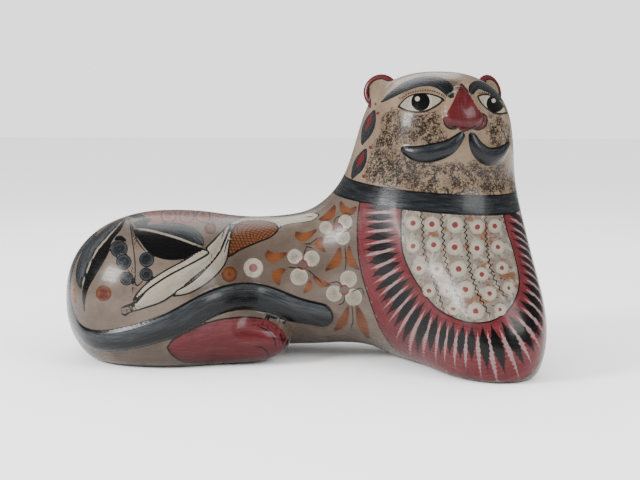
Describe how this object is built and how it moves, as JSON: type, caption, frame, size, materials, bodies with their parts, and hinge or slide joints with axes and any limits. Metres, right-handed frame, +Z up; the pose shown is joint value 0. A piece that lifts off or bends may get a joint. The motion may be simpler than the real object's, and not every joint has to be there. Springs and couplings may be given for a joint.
{
  "type": "terracotta cat figurine",
  "caption": "Reclining burnished terracotta cat figurine with an upright head turned to the side, hand-painted in the folk style.",
  "frame": {"origin": "middle of the figure's bounding box, on the plane that it stands on", "axes": "+X along the body towards the bust, +Z up, -Y is the painted show side"},
  "size_m": [0.3518, 0.185, 0.2095],
  "materials": {
    "painted_clay": "burnished clay slip with hand-painted decoration, soft satin gloss"
  },
  "bodies": {
    "root": {"cat": "painted_clay"}
  },
  "joints": []
}
